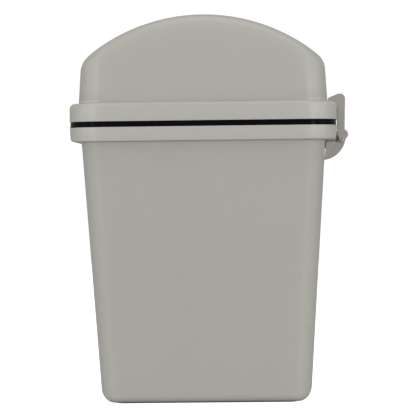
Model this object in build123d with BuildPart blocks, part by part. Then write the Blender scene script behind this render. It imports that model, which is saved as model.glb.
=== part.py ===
"""A sealed dog waste bin of about 13 litres.

A tapered tub carries a domed lid on a pinned hinge at its left end (-X). A rubber seal fills the
seam, and an over-centre draw latch at the right end (+X) pulls the lid down on it. A loose ring
holds the bag in the tub's mouth, and an odour tray with a charcoal filter hangs under the dome.
+Z is up, and the origin is on the floor, under the middle of the tub. Sizes are millimetres.
"""

import os
from math import asin, cos, degrees, radians, sin, tan

from build123d import *

# --- Rim: the two collars that meet at the seam ----------------------------------------------
rim_length = 275.0  # over the collars, along X
rim_depth = 212.0  # over the collars, along Y
rim_corner = 32.0  # plan radius of the collars' corners

# --- Tub ---------------------------------------------------------------------------------------
tub_height = 285.0  # floor to the rim edge that the seal lands on
tub_wall = 2.6
tub_floor = 3.0
tub_draft = 3.75  # degrees that each wall leans outwards
tub_step = 12.0  # from the collar's face in to the tub's wall
tub_corner = 21.0  # plan radius of the wall's corners, under the collar
base_corner = 16.0  # the same, at the base
base_round = 13.0  # radius between the walls and the base
collar_height = 14.5
collar_wall = 4.0
collar_round = 2.5
shelf_thickness = 3.0  # the step inside the collar, where the bag ring sits

# --- Foot ring, in a groove under the base ------------------------------------------------------
foot_width = 9.0
foot_proud = 1.2  # below the base
foot_sunk = 1.0  # into the base
foot_margin = 1.5  # of flat base outside the ring
foot_chamfer = 0.4

# --- Seal --------------------------------------------------------------------------------------
seal_height = 5.8  # the seam that shows between the collars
seal_recess = 0.6  # from the collars' faces in to the seal's lips
seal_width = 5.6
seal_landing = 0.3  # left open above the rim edge, where rubber would be squeezed
stem_width = 2.8
stem_height = 9.0
lip_groove = 0.6
lip_count = 3
lip_share = 0.75  # of each lip's pitch that stands out past the groove

# --- Lid ---------------------------------------------------------------------------------------
lid_wall = 2.5
lid_collar_height = 18.7
lid_collar_wall = 3.0
lid_collar_round = 4.5
lid_draft = 3.5  # degrees that the dome's walls lean inwards
ledge_width = 9.5  # from the collar's face in to the dome's wall
ledge_thickness = 3.0
dome_height = 90.5  # ledge to crown
arch_radius = 0.68 * rim_length
shoulder_radius = 24.0  # where the arch turns down into the end walls
dome_round = 11.0  # radius along the arch's edges
channel_depth = 12.0  # slot in the collar that grips the seal's stem
channel_gap = 0.1  # between the stem and each side of the slot
rib_wall = 2.0  # inner wall of that slot
hollow_overlap = 1.0  # of the dome's hollow with the one inside the collar

# --- Lid hinge ---------------------------------------------------------------------------------
hinge_width = 40.0
hinge_offset = 2.0  # from the collars' faces out to the hinge's axis
knuckle_radius = 2.3
knuckle_gap = 0.4
knuckle_count = 5
knuckle_web = 12.0  # how far each knuckle's web runs up or down the collar
hinge_pin_radius = 1.1
hinge_pin_overhang = 0.8
pin_chamfer = 0.25  # of each pin's radius, at its ends

# --- Latch -------------------------------------------------------------------------------------
latch_pivot_out = 7.0  # lever's pivot, out from the collar's face
latch_pivot_down = 8.4  # and down from the rim edge
link_in = 0.7  # hook's pivot, in from the lever's pivot
link_down = 5.2  # and down from it
latch_pin_radius = 1.6
running_gap = 0.05  # around a pin that turns in its hole
side_gap = 0.5  # between the latch's parts, side by side
ear_inner = 8.5  # half the gap between the tub's two ears
ear_thickness = 4.0
ear_radius = 3.1
ear_rib_drop = 9.0  # from the collar's underside down the wall to the foot of each ear's rib
ear_rib_depth = 4.0  # from that underside down to the rib's outer corner
lever_cheek = 3.0
lever_boss = 5.2
lever_radius = 25.0  # of its curved back
lever_reach = 2.6  # how far the back's furthest point stands out past the pivot
lever_drop = 1.5  # and how far below the pivot it lies
lever_sweep = 84.0  # degrees from there down to the finger end
lever_web_start = 24.0  # degrees from there down to the web between the cheeks
lever_web = 2.6
lever_gap = 1.5  # between the lever's cheeks and the tub
hook_cheek = 3.0
hook_boss = 3.2
hook_web = 3.0
hook_stand_off = 1.0  # between the arm and the collars' faces
hook_bite_gap = 0.4  # between the hook's nose and the lid's shoulder
hook_nose = 8.2  # how far the nose reaches in over the shoulder
hook_rise = 9.6  # ledge up to the hook's top
hook_thickness = 8.5  # at the top
hook_taper = 0.9  # less, at the rim edge
hook_tip = 5.0  # height of the nose's tip over the ledge
hook_top_round = 5.1
hook_heel_round = 2.5
hook_tip_round = 1.5
hook_web_rise = 3.2  # rim edge up to the start of the hook's web

# --- Bag ring ----------------------------------------------------------------------------------
ring_thickness = 2.5
ring_skirt = 15.0
ring_wall = 2.2
ring_seat = 0.3  # bag film under the ring
bag_gap = 1.5  # room for the bag between the ring's skirt and the tub
ring_rib_gap = 1.2  # between the ring and the lid's inner rib
tab_width = 34.0
tab_height = 11.0
tab_wall = 2.4
tab_round = 0.8

# --- Odour tray --------------------------------------------------------------------------------
tray_length = 120.0
tray_depth = 84.0
tray_height = 18.0
tray_wall = 2.0
tray_corner = 8.0
tray_drop = 28.0  # crown's inner face down to the tray's top
boss_radius = 4.2
screw_radius = 1.5
screw_length = 12.0
screw_head_radius = 3.1
screw_head_height = 2.2
screw_head_round = 0.7
screw_inset = 9.0  # tray's edge in to the screws
filter_thickness = 9.0
filter_gap = 1.0
cover_gap = 0.4  # under the tray's edge
cover_thickness = 2.4
cover_slot_width = 3.0
cover_slot_pitch = 7.0
cover_slot_margin = 9.0  # cover's edge in to the slots
tray_pin_radius = 1.0
tray_knuckle_radius = 2.3
tray_hinge_width = 60.0
tray_hinge_offset = 2.9  # tray's wall out to the pin's axis
cover_tab = 5.0
cover_tab_width = 22.0

# --- Levels and half sizes worked out from the above -------------------------------------------
shelf_under = tub_height - collar_height
shelf_top = shelf_under + shelf_thickness
collar_lean = collar_height * tan(radians(tub_draft))  # the collar's draft, over its height
lid_bottom = tub_height + seal_height
ledge_top = lid_bottom + lid_collar_height
ledge_under = ledge_top - ledge_thickness
crown = ledge_top + dome_height
arch_centre = crown - arch_radius
half_length = rim_length / 2
stem_inset = seal_recess + (seal_width - stem_width) / 2
rib_inset = stem_inset + stem_width + channel_gap + rib_wall


def rim_section(inset):
    """Length, depth and corner radius of the rim's outline, taken in by inset."""
    return rim_length - 2 * inset, rim_depth - 2 * inset, rim_corner - inset


def tub_section(height, inset):
    """The same for the tub's tapered wall at a height."""
    lean = (shelf_under - height) * tan(radians(tub_draft)) + tub_step + inset
    share = (height - foot_proud) / (shelf_under - foot_proud)
    corner = base_corner + (tub_corner - base_corner) * share - inset
    return rim_length - 2 * lean, rim_depth - 2 * lean, corner


def dome_section(height, inset):
    """The same for the dome's wall at a height."""
    lean = (height - ledge_top) * tan(radians(lid_draft)) + ledge_width + inset
    return rim_length - 2 * lean, rim_depth - 2 * lean, rim_corner - ledge_width - inset


def band(outer, inner, bottom, height, mode=Mode.ADD):
    """Extrudes the band between two rounded rectangles, inside the part that is being built."""
    with BuildSketch(Plane.XY.offset(bottom)) as profile:
        RectangleRounded(*outer)
        RectangleRounded(*inner, mode=Mode.SUBTRACT)
    extrude(profile.sketch, amount=height, mode=mode)


def write(piece, name):
    """Labels a finished piece and writes its STEP file."""
    piece.part.label = name
    export_step(piece.part, f"parts/{name}.step")


def plates(face, inner, thickness):
    """Extrudes an XZ face into two plates, one each side of the XZ plane."""
    for side in (-1, 1):
        extrude(face.moved(Location((0, side * inner, 0))), amount=thickness, dir=(0, side, 0))


def cross_hole(x, z, radius, span):
    """Drills along Y, right through a span about the XZ plane."""
    with BuildSketch(Plane.XZ) as profile:
        with Locations((x, z)):
            Circle(radius)
    extrude(profile.sketch, amount=span, both=True, mode=Mode.SUBTRACT)


def tub_block(low, high, inset, round_radius):
    """The tapered tub as a solid block between two levels, its faces taken in by inset."""
    with BuildPart(mode=Mode.PRIVATE) as block:
        for height in (low, high):
            with BuildSketch(Plane.XY.offset(height)):
                RectangleRounded(*tub_section(height, inset))
        loft()
        if round_radius:
            fillet(block.faces().sort_by(Axis.Z)[0].edges(), radius=round_radius)
    return block.part


def dome_profile(bottom, inset):
    """Face in XZ: the arch, one tighter arc down each end, and sides that stand clear of the walls."""
    shoulder_x = dome_section(ledge_top, 0)[0] / 2 - shoulder_radius
    tilt = degrees(asin(shoulder_x / (arch_radius - shoulder_radius)))
    shoulder_z = arch_centre + (arch_radius - shoulder_radius) * cos(radians(tilt))
    with BuildSketch(Plane.XZ, mode=Mode.PRIVATE) as profile:
        with BuildLine():
            CenterArc((0, arch_centre), arch_radius - inset, 90 - tilt, 2 * tilt)
            CenterArc((shoulder_x, shoulder_z), shoulder_radius - inset, 0, 90 - tilt)
            CenterArc((-shoulder_x, shoulder_z), shoulder_radius - inset, 90 + tilt, 90 - tilt)
            side = shoulder_x + shoulder_radius - inset
            Polyline(
                (side, shoulder_z),
                (half_length, bottom),
                (-half_length, bottom),
                (-side, shoulder_z),
            )
        make_face()
    return profile.sketch


def dome_block(bottom, inset):
    """The dome as a solid block from a level up, its faces taken in by inset."""
    with BuildPart(mode=Mode.PRIVATE) as block:
        for height in (bottom, crown):
            with BuildSketch(Plane.XY.offset(height)):
                RectangleRounded(*dome_section(height, inset))
        loft()
        extrude(dome_profile(bottom, inset), amount=rim_depth, both=True, mode=Mode.INTERSECT)
        tops = block.faces().filter_by(GeomType.CYLINDER)
        rim = [e for e in block.edges() if sum(e in top.edges() for top in tops) == 1]
        fillet(rim, radius=dome_round - inset)
    return block.part


os.makedirs("parts", exist_ok=True)

# --- Hinge knuckles: equal shares of the hinge's width, tub and lid in turn --------------------
hinge_x = -half_length - hinge_offset
hinge_z = (tub_height + lid_bottom) / 2
knuckle_share = hinge_width / knuckle_count


def knuckles(first, rise):
    """Every second knuckle from the first, each on a web that runs rise up or down the collar."""
    way = 1 if rise > 0 else -1
    root_x = -half_length + lid_collar_wall / 2
    lip_z = hinge_z + way * (seal_height / 2 + seal_landing)
    outer_x = hinge_x - knuckle_radius
    with BuildSketch(Plane.XZ, mode=Mode.PRIVATE) as profile:
        with BuildLine():
            Polyline(
                (outer_x, hinge_z),
                (outer_x, hinge_z + rise / 3),
                (root_x, hinge_z + rise),
                (root_x, lip_z),
                (hinge_x, lip_z),
                (hinge_x, hinge_z),
                close=True,
            )
        make_face()
        with Locations((hinge_x, hinge_z)):
            Circle(knuckle_radius)
    for k in range(first, knuckle_count, 2):
        start = -hinge_width / 2 + k * knuckle_share + knuckle_gap / 2
        face = profile.sketch.moved(Location((0, start, 0)))
        extrude(face, amount=knuckle_share - knuckle_gap, dir=(0, 1, 0))


# --- Latch axes and outlines --------------------------------------------------------------------
latch_x = half_length + latch_pivot_out
latch_z = tub_height - latch_pivot_down
link_x = latch_x - link_in
link_z = latch_z - link_down
lever_cheek_inner = ear_inner + ear_thickness + side_gap
hook_cheek_inner = lever_cheek_inner + lever_cheek + side_gap
hook_half_width = hook_cheek_inner + hook_cheek

# --- Tub -----------------------------------------------------------------------------------------
foot_inset = base_round + foot_margin


def base_section(inset):
    """The outline of the base, taken in by inset, with a corner that stays round."""
    length, depth, corner = tub_section(foot_proud, inset)
    return length, depth, max(corner, foot_width)


with BuildPart() as tub:
    # the collar round the mouth, and the tapered body under it
    for height, inset in ((shelf_under, collar_lean), (tub_height, 0)):
        with BuildSketch(Plane.XY.offset(height)):
            RectangleRounded(*rim_section(inset))
    loft()
    fillet(tub.faces().sort_by(Axis.Z)[0].edges(), radius=collar_round)
    add(tub_block(foot_proud, shelf_top, 0, base_round))

    # the inside: tapered walls up to the shelf, then the collar's own space
    inside_round = base_round - tub_wall
    add(tub_block(foot_proud + tub_floor, shelf_top, tub_wall, inside_round), mode=Mode.SUBTRACT)
    with BuildSketch(Plane.XY.offset(shelf_top)):
        RectangleRounded(*rim_section(collar_wall))
    extrude(amount=collar_height, mode=Mode.SUBTRACT)

    # hinge knuckles at the left end
    knuckles(0, -knuckle_web)
    cross_hole(hinge_x, hinge_z, hinge_pin_radius, hinge_width)

    # latch ears at the right end, each on a rib that runs down under the collar to the wall
    rib_foot = shelf_under - ear_rib_drop
    rib_root_x = tub_section(rib_foot, tub_wall / 2)[0] / 2
    with BuildSketch(Plane.XZ, mode=Mode.PRIVATE) as ear:
        with BuildLine():
            Polyline(
                (half_length - collar_wall / 2, latch_z + ear_radius),
                (latch_x, latch_z + ear_radius),
                (latch_x, latch_z),
                (latch_x - ear_radius, latch_z),
                (latch_x - 2 * ear_radius, shelf_under - ear_rib_depth),
                (rib_root_x, rib_foot),
                (rib_root_x, shelf_under + collar_wall / 2),
                (half_length - collar_wall / 2, shelf_under + collar_wall / 2),
                close=True,
            )
        make_face()
        with Locations((latch_x, latch_z)):
            Circle(ear_radius)
    plates(ear.sketch, ear_inner, ear_thickness)
    cross_hole(latch_x, latch_z, latch_pin_radius, hook_half_width)

    # groove for the foot ring
    band(
        base_section(foot_inset),
        base_section(foot_inset + foot_width),
        foot_proud,
        foot_sunk,
        Mode.SUBTRACT,
    )

write(tub, "tub")

# --- Foot ring -----------------------------------------------------------------------------------
with BuildPart() as foot_ring:
    band(base_section(foot_inset), base_section(foot_inset + foot_width), 0, foot_proud + foot_sunk)
    chamfer(foot_ring.faces().sort_by(Axis.Z)[0].edges(), length=foot_chamfer)

write(foot_ring, "foot_ring")

# --- Lid shell -----------------------------------------------------------------------------------
crown_inner = crown - lid_wall
tray_top = crown_inner - tray_drop
tray_bottom = tray_top - tray_height
screw_x = tray_length / 2 - screw_inset
screw_y = tray_depth / 2 - screw_inset

with BuildPart() as lid_bosses:
    with BuildSketch(Plane.XY.offset(tray_top)):
        with GridLocations(2 * screw_x, 2 * screw_y, 2, 2):
            Circle(boss_radius)
    extrude(amount=crown - tray_top)
    add(dome_block(ledge_top, lid_wall / 2), mode=Mode.INTERSECT)

with BuildPart() as lid_shell:
    with BuildSketch(Plane.XY.offset(lid_bottom)):
        RectangleRounded(*rim_section(0))
    extrude(amount=lid_collar_height)
    fillet(lid_shell.faces().sort_by(Axis.Z)[-1].edges(), radius=lid_collar_round)
    add(dome_block(ledge_top - lid_collar_round, 0))

    # the dome's hollow, and the wider one inside the collar
    add(dome_block(ledge_under - hollow_overlap, lid_wall), mode=Mode.SUBTRACT)
    with BuildSketch(Plane.XY.offset(lid_bottom)):
        RectangleRounded(*rim_section(rib_inset))
    extrude(amount=ledge_under - lid_bottom, mode=Mode.SUBTRACT)

    # slot for the seal's stem
    slot_outer = rim_section(stem_inset - channel_gap)
    slot_inner = rim_section(stem_inset + stem_width + channel_gap)
    band(slot_outer, slot_inner, lid_bottom, channel_depth, Mode.SUBTRACT)

    # bosses for the odour tray's screws
    add(lid_bosses.part)
    with BuildSketch(Plane.XY.offset(tray_top)):
        with GridLocations(2 * screw_x, 2 * screw_y, 2, 2):
            Circle(screw_radius)
    extrude(amount=screw_length, mode=Mode.SUBTRACT)

    # hinge knuckles
    knuckles(1, knuckle_web)
    cross_hole(hinge_x, hinge_z, hinge_pin_radius + running_gap, hinge_width)

write(lid_shell, "lid_shell")

# --- Seal ----------------------------------------------------------------------------------------
with BuildPart() as lid_seal:
    seal_bottom = tub_height + seal_landing
    lips = rim_section(seal_recess)
    grooves = rim_section(seal_recess + lip_groove)
    inner = rim_section(seal_recess + seal_width)
    band(grooves, inner, seal_bottom, lid_bottom - seal_bottom)
    lip_pitch = (lid_bottom - seal_bottom) / lip_count
    lip_bottom = seal_bottom + (1 - lip_share) * lip_pitch / 2
    for k in range(lip_count):
        band(lips, inner, lip_bottom + k * lip_pitch, lip_share * lip_pitch)
    stem_outer = rim_section(stem_inset)
    band(stem_outer, rim_section(stem_inset + stem_width), lid_bottom, stem_height)

write(lid_seal, "lid_seal")

# --- Hinge pin -----------------------------------------------------------------------------------
def cross_pin(x, z, radius, half_span):
    """A pin along Y with chamfered ends."""
    with BuildPart() as pin:
        with BuildSketch(Plane.XZ.offset(-half_span)):
            with Locations((x, z)):
                Circle(radius)
        extrude(amount=2 * half_span)
        chamfer(pin.edges().filter_by(GeomType.CIRCLE), length=pin_chamfer * radius)
    return pin


hinge_pin = cross_pin(hinge_x, hinge_z, hinge_pin_radius, hinge_width / 2 + hinge_pin_overhang)
write(hinge_pin, "hinge_pin")

# --- Latch lever: two quarter-round cheeks under a curved back ----------------------------------
back_x = latch_x + lever_reach - lever_radius
back_z = latch_z - lever_drop
end_angle = radians(-lever_sweep)
end_x = back_x + lever_radius * cos(end_angle)
end_z = back_z + lever_radius * sin(end_angle)
under_collar = shelf_under - lever_gap
wall_x = tub_section(under_collar, 0)[0] / 2 + lever_gap

with BuildPart() as latch_lever:
    with BuildSketch(Plane.XZ, mode=Mode.PRIVATE) as cheek:
        with BuildLine():
            CenterArc((back_x, back_z), lever_radius, -lever_sweep, lever_sweep)
            Polyline(
                (back_x + lever_radius, back_z),
                (latch_x, latch_z),
                (latch_x - lever_boss, latch_z),
                (half_length + lever_gap, under_collar),
                (wall_x, under_collar),
                (end_x, end_z),
            )
        make_face()
        with Locations((latch_x, latch_z)):
            Circle(lever_boss)
    plates(cheek.sketch, lever_cheek_inner, lever_cheek)
    with BuildSketch(Plane.XZ):
        with BuildLine():
            web_sweep = lever_sweep - lever_web_start
            back = CenterArc((back_x, back_z), lever_radius, -lever_sweep, web_sweep)
            front = CenterArc((back_x, back_z), lever_radius - lever_web, -lever_sweep, web_sweep)
            Line(back @ 0, front @ 0)
            Line(back @ 1, front @ 1)
        make_face()
    extrude(amount=lever_cheek_inner + lever_cheek / 2, both=True)
    cross_hole(latch_x, latch_z, latch_pin_radius + running_gap, hook_half_width)
    cross_hole(link_x, link_z, latch_pin_radius, hook_half_width)

write(latch_lever, "latch_lever")

# --- Latch hook: two cheeks, a web across their outer edges and a nose over the shoulder ----------
shoulder_x = half_length - lid_collar_round
shoulder_z = ledge_top - lid_collar_round
bite_radius = lid_collar_round + hook_bite_gap
arm_inner = half_length + hook_stand_off
arm_outer = arm_inner + hook_thickness
hook_top = ledge_top + hook_rise
nose_x = half_length - hook_bite_gap - hook_nose
nose_top = ledge_top + hook_tip

with BuildPart() as latch_hook:
    with BuildSketch(Plane.XZ, mode=Mode.PRIVATE) as arm:
        with BuildLine():
            CenterArc((shoulder_x, shoulder_z), bite_radius, 0, 90)
            Polyline(
                (shoulder_x, shoulder_z + bite_radius),
                (nose_x, shoulder_z + bite_radius),
                (nose_x, nose_top),
                (arm_inner + hook_stand_off, hook_top),
                (arm_outer, hook_top),
                (arm_outer - hook_taper, tub_height),
                (link_x + hook_boss, link_z),
                (link_x - hook_boss, link_z),
                (arm_inner, latch_z),
                (arm_inner, shoulder_z),
                (shoulder_x + bite_radius, shoulder_z),
            )
        make_face()
        with Locations((link_x, link_z)):
            Circle(hook_boss)
    extrude(arm.sketch, amount=hook_half_width, both=True)
    for corner, radius in (
        ((arm_outer, 0, hook_top), hook_top_round),
        ((arm_inner + hook_stand_off, 0, hook_top), hook_heel_round),
        ((nose_x, 0, nose_top), hook_tip_round),
    ):
        edges = latch_hook.edges().filter_by(Axis.Y)
        fillet(edges.sort_by_distance(corner)[0], radius=radius)

    # open between the cheeks: below the web, then behind it up to the nose
    web_start = tub_height + hook_web_rise
    with BuildSketch(Plane.XZ):
        with BuildLine():
            Polyline(
                (arm_outer - hook_taper - hook_web, shoulder_z),
                (arm_outer - hook_taper - hook_web, web_start),
                (arm_outer + hook_web, web_start),
                (arm_outer + hook_web, link_z - 2 * hook_boss),
                (half_length - 2 * hook_web, link_z - 2 * hook_boss),
                (half_length - 2 * hook_web, shoulder_z),
                close=True,
            )
        make_face()
    extrude(amount=hook_cheek_inner, both=True, mode=Mode.SUBTRACT)
    cross_hole(link_x, link_z, latch_pin_radius + running_gap, 2 * hook_half_width)

write(latch_hook, "latch_hook")

latch_pivot_pin = cross_pin(latch_x, latch_z, latch_pin_radius, lever_cheek_inner + lever_cheek)
write(latch_pivot_pin, "latch_pivot_pin")

latch_link_pin = cross_pin(link_x, link_z, latch_pin_radius, hook_half_width)
write(latch_link_pin, "latch_link_pin")

# --- Bag ring ------------------------------------------------------------------------------------
ring_bottom = shelf_top + ring_seat
skirt_inset = tub_wall + bag_gap
skirt_foot = ring_bottom - ring_skirt
ring_top = ring_bottom + ring_thickness
with BuildPart() as bag_ring:
    with BuildSketch(Plane.XY.offset(ring_bottom)):
        RectangleRounded(*rim_section(rib_inset + ring_rib_gap))
    extrude(amount=ring_thickness)
    add(tub_block(skirt_foot, ring_top, skirt_inset, 0))
    add(tub_block(skirt_foot, ring_top, skirt_inset + ring_wall, 0), mode=Mode.SUBTRACT)

    # a tab to lift it by, at each end
    tab_x = tub_section(ring_bottom, skirt_inset + ring_wall)[0] / 2 - tab_wall / 2
    with BuildSketch(Plane.XY.offset(ring_bottom)):
        with GridLocations(2 * (tab_x + tab_wall), 0, 2, 1):
            RectangleRounded(tab_wall, tab_width, tab_round)
    extrude(amount=ring_thickness + tab_height)

write(bag_ring, "bag_ring")

# --- Odour tray, with a hinge along its rear edge --------------------------------------------------
pin_y = tray_depth / 2 + tray_hinge_offset
pin_z = tray_bottom
hinge_share = tray_hinge_width / 3


def tray_knuckle(start, width, reach_z):
    """A barrel on the tray's hinge axis, with a web back to the edge at a level."""
    with BuildSketch(Plane.YZ.offset(start)) as profile:
        with Locations((pin_y, pin_z)):
            Circle(tray_knuckle_radius)
        with BuildLine():
            Polyline(
                (pin_y, pin_z + (tray_knuckle_radius if reach_z > pin_z else -tray_knuckle_radius)),
                (tray_depth / 2 - tray_wall / 2, reach_z),
                (tray_depth / 2 - tray_wall / 2, pin_z + (0 if reach_z > pin_z else -cover_gap)),
                (pin_y, pin_z + (0 if reach_z > pin_z else -cover_gap)),
                close=True,
            )
        make_face()
    extrude(profile.sketch, amount=width)


with BuildPart() as odour_tray:
    with BuildSketch(Plane.XY.offset(tray_bottom)):
        RectangleRounded(tray_length, tray_depth, tray_corner)
    extrude(amount=tray_height)
    fillet(odour_tray.faces().sort_by(Axis.Z)[-1].edges(), radius=tray_wall)
    with BuildSketch(Plane.XY.offset(tray_bottom)):
        RectangleRounded(
            tray_length - 2 * tray_wall, tray_depth - 2 * tray_wall, tray_corner - tray_wall
        )
    extrude(amount=tray_height - tray_wall, mode=Mode.SUBTRACT)
    with BuildSketch(Plane.XY.offset(tray_bottom)):
        with GridLocations(2 * screw_x, 2 * screw_y, 2, 2):
            Circle(screw_radius)
    extrude(amount=tray_height, mode=Mode.SUBTRACT)
    for start in (-tray_hinge_width / 2, tray_hinge_width / 2 - hinge_share):
        tray_knuckle(start, hinge_share, tray_bottom + 2 * tray_knuckle_radius)
    with BuildSketch(Plane.YZ):
        with Locations((pin_y, pin_z)):
            Circle(tray_pin_radius)
    extrude(amount=tray_hinge_width, both=True, mode=Mode.SUBTRACT)

write(odour_tray, "odour_tray")

with BuildPart() as charcoal_filter:
    with BuildSketch(Plane.XY.offset(tray_bottom + filter_gap)):
        RectangleRounded(
            tray_length - 2 * (tray_wall + filter_gap),
            tray_depth - 2 * (tray_wall + filter_gap),
            tray_corner - tray_wall - filter_gap,
        )
    extrude(amount=filter_thickness)

write(charcoal_filter, "charcoal_filter")

# --- Tray cover ------------------------------------------------------------------------------------
cover_top = tray_bottom - cover_gap
slot_count = int((tray_length - 2 * cover_slot_margin) // cover_slot_pitch)
with BuildPart() as tray_cover:
    with BuildSketch(Plane.XY.offset(cover_top)):
        RectangleRounded(tray_length, tray_depth, tray_corner)
        with Locations((0, -tray_depth / 2)):
            RectangleRounded(cover_tab_width, 2 * cover_tab, cover_tab / 2)
        with GridLocations(cover_slot_pitch, 1, slot_count, 1):
            SlotOverall(
                tray_depth - 2 * cover_slot_margin, cover_slot_width, rotation=90, mode=Mode.SUBTRACT
            )
    extrude(amount=-cover_thickness)
    middle = hinge_share - 2 * side_gap
    tray_knuckle(-middle / 2, middle, cover_top - cover_thickness)
    with BuildSketch(Plane.YZ):
        with Locations((pin_y, pin_z)):
            Circle(tray_pin_radius + running_gap)
    extrude(amount=tray_hinge_width, both=True, mode=Mode.SUBTRACT)

write(tray_cover, "tray_cover")

with BuildPart() as tray_hinge_pin:
    with BuildSketch(Plane.YZ.offset(-tray_hinge_width / 2)):
        with Locations((pin_y, pin_z)):
            Circle(tray_pin_radius)
    extrude(amount=tray_hinge_width)
    chamfer(tray_hinge_pin.edges().filter_by(GeomType.CIRCLE), length=pin_chamfer * tray_pin_radius)

write(tray_hinge_pin, "tray_hinge_pin")

# --- Tray screws -----------------------------------------------------------------------------------
with BuildPart() as tray_screws:
    roof_under = tray_top - tray_wall
    with BuildSketch(Plane.XY.offset(roof_under)):
        with GridLocations(2 * screw_x, 2 * screw_y, 2, 2):
            Circle(screw_head_radius)
    extrude(amount=-screw_head_height)
    fillet(tray_screws.faces().sort_by(Axis.Z)[:4].edges(), radius=screw_head_round)
    with BuildSketch(Plane.XY.offset(roof_under)):
        with GridLocations(2 * screw_x, 2 * screw_y, 2, 2):
            Circle(screw_radius)
    extrude(amount=screw_length - tray_wall)

write(tray_screws, "tray_screws")
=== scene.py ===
"""Dog waste bin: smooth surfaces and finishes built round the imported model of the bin.

Shapes are grids of points worked out as whole arrays: a profile in the bin's long section, carried
round a rounded rectangle, a turned outline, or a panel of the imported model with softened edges.
"""

import math

import bmesh
import bpy
import numpy as np
from mathutils import Matrix, Vector


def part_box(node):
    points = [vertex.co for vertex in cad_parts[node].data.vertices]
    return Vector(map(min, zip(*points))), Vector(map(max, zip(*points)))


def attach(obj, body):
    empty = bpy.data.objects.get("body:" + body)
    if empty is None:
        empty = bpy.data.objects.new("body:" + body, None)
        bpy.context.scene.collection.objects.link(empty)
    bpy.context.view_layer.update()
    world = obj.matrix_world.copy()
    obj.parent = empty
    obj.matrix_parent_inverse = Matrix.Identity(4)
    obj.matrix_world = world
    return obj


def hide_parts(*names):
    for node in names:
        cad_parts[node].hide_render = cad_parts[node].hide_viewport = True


bl_info = {
    "name": "Dog Waste Bin",
    "version": (1, 0, 0),
    "blender": (4, 5, 0),
    "location": "3D View > Sidebar > Waste Bin",
    "description": "Builds a sealed dog waste bin with its lid, seal, latch and odour tray",
    "category": "Add Mesh",
}

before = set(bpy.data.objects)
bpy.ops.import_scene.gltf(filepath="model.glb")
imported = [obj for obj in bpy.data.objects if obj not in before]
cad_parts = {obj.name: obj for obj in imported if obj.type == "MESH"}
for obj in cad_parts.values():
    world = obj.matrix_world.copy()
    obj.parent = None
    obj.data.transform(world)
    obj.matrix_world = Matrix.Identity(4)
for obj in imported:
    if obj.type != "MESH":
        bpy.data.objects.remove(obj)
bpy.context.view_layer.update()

MM = 0.001
LID_LOW, LID_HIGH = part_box("lid_shell")
SEAL_LOW, SEAL_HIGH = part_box("lid_seal")
HALF_LENGTH = LID_HIGH.x
HALF_DEPTH = LID_HIGH.y
SKEW = HALF_LENGTH - HALF_DEPTH  # every outline is this much longer than it is deep, each side
CORNER_STEPS = 14  # points round each corner of an outline
SIDE_STEPS = 26  # points along each side
ARC_STEPS = 7  # points along each rounded corner of a section
MERGE = 1e-6  # points nearer than this are one
SHARP_ANGLE = math.radians(32)  # edges that turn by more are shaded sharp
BEVEL_ANGLE = math.radians(35)  # edges that turn by more are rounded


# --- Sizes and colours that a user would change --------------------------------------------------
def length(name, description, default):
    """A length property in metres."""
    return bpy.props.FloatProperty(
        name=name, description=description, default=default, unit="LENGTH", subtype="DISTANCE", precision=5
    )


def colour(name, description, default):
    """A colour property, linear."""
    return bpy.props.FloatVectorProperty(
        name=name, description=description, default=default, subtype="COLOR", size=3, min=0, max=1
    )


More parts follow.
